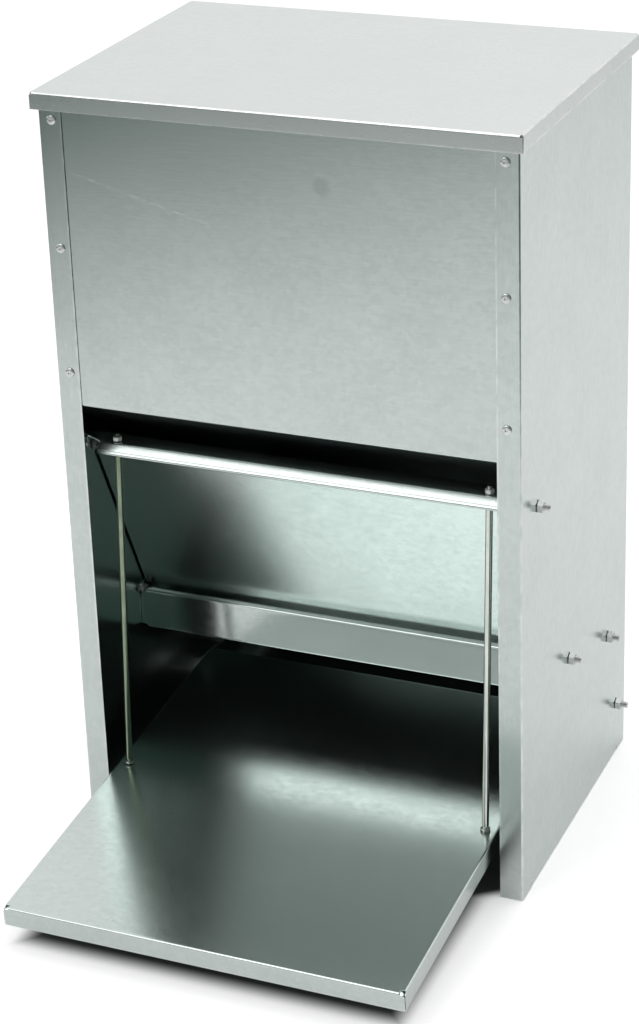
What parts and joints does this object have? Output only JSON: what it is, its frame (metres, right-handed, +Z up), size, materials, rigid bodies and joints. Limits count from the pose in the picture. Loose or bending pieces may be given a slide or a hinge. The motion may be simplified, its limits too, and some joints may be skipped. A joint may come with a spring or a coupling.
{
  "type": "treadle feed dispenser",
  "caption": "Galvanized sheet-steel feed dispenser for poultry: a lidded hopper over a trough, with a front treadle whose rods swing open the trough's flap.",
  "frame": {"origin": "on the ground under the middle of the outer box, half way between the treadle's front edge and the lid's rear edge", "axes": "+Z up, +Y from the treadle's front edge toward the rear panel, +X to the right seen from the front"},
  "size_m": [0.4216, 0.4954, 0.66],
  "materials": {
    "galvanized_sheet": "galvanized sheet, faint rolled grain, satin",
    "galvanized_lid": "galvanized sheet, pale satin",
    "treadle_sheet": "galvanized sheet, smooth and slightly glossier",
    "flap_sheet": "galvanized sheet, satin",
    "bright_fasteners": "bright zinc-plated steel",
    "rivets": "bright pop rivets",
    "zinc_rods": "zinc-plated rod with a faint yellow-green tone",
    "zinc_sleeves": "dull zinc"
  },
  "bodies": {
    "cabinet": {"side_panel_left": "galvanized_sheet", "side_panel_right": "galvanized_sheet", "hopper_front_and_chute": "galvanized_sheet", "rear_panel": "galvanized_sheet", "feed_trough": "galvanized_sheet", "flap_pivot_bolt_left": "bright_fasteners", "flap_pivot_bolt_right": "bright_fasteners", "flap_pivot_nut_left": "bright_fasteners", "flap_pivot_nut_right": "bright_fasteners", "trough_lip_bolt_left": "bright_fasteners", "trough_lip_bolt_right": "bright_fasteners", "trough_lip_nut_left": "bright_fasteners", "trough_lip_nut_right": "bright_fasteners", "trough_rest_bolt_left": "bright_fasteners", "trough_rest_bolt_right": "bright_fasteners", "trough_rest_nut_left": "bright_fasteners", "trough_rest_nut_right": "bright_fasteners", "treadle_pivot_bolt_left": "bright_fasteners", "treadle_pivot_bolt_right": "bright_fasteners", "treadle_pivot_nut_left": "bright_fasteners", "treadle_pivot_nut_right": "bright_fasteners", "flap_pivot_spacer_left": "zinc_sleeves", "flap_pivot_spacer_right": "zinc_sleeves", "treadle_pivot_sleeve_left": "zinc_sleeves", "treadle_pivot_sleeve_right": "zinc_sleeves", "front_rivet_left_1": "rivets", "front_rivet_left_2": "rivets", "front_rivet_left_3": "rivets", "front_rivet_right_1": "rivets", "front_rivet_right_2": "rivets", "front_rivet_right_3": "rivets", "rear_rivet_left_1": "rivets", "rear_rivet_left_2": "rivets", "rear_rivet_left_3": "rivets", "rear_rivet_left_4": "rivets", "rear_rivet_right_1": "rivets", "rear_rivet_right_2": "rivets", "rear_rivet_right_3": "rivets", "rear_rivet_right_4": "rivets"},
    "flap": {"trough_flap": "flap_sheet"},
    "treadle": {"treadle": "treadle_sheet"},
    "rods": {"lift_rod_left": "zinc_rods", "lift_rod_right": "zinc_rods", "rod_top_nut_left": "bright_fasteners", "rod_top_nut_right": "bright_fasteners", "rod_collar_nut_left": "bright_fasteners", "rod_collar_nut_right": "bright_fasteners", "rod_lower_nut_left": "bright_fasteners", "rod_lower_nut_right": "bright_fasteners"},
    "lid": {"lid": "galvanized_lid"}
  },
  "joints": [
    {"name": "flap_pivot", "type": "hinge", "parent": "cabinet", "child": "flap", "pos_m": [0, -0.00382, 0.342], "axis": [1, 0, 0], "range_deg": [0, 25]},
    {"name": "treadle_pivot", "type": "hinge", "parent": "cabinet", "child": "treadle", "pos_m": [0, 0.21518, 0.05], "axis": [1, 0, 0], "range_deg": [0, 1.05]},
    {"name": "rod_joint", "type": "hinge", "parent": "treadle", "child": "rods", "pos_m": [0, -0.03504, 0.05459], "axis": [1, 0, 0], "range_deg": [-0.49, 0]},
    {"name": "lid_lift", "type": "slide", "parent": "cabinet", "child": "lid", "axis": [0, 0, 1], "range_m": [0, 0.12]}
  ],
  "couplings": [
    {"joint": "treadle_pivot", "follows": "flap_pivot", "ratio": 0.042},
    {"joint": "rod_joint", "follows": "flap_pivot", "ratio": -0.0196}
  ]
}
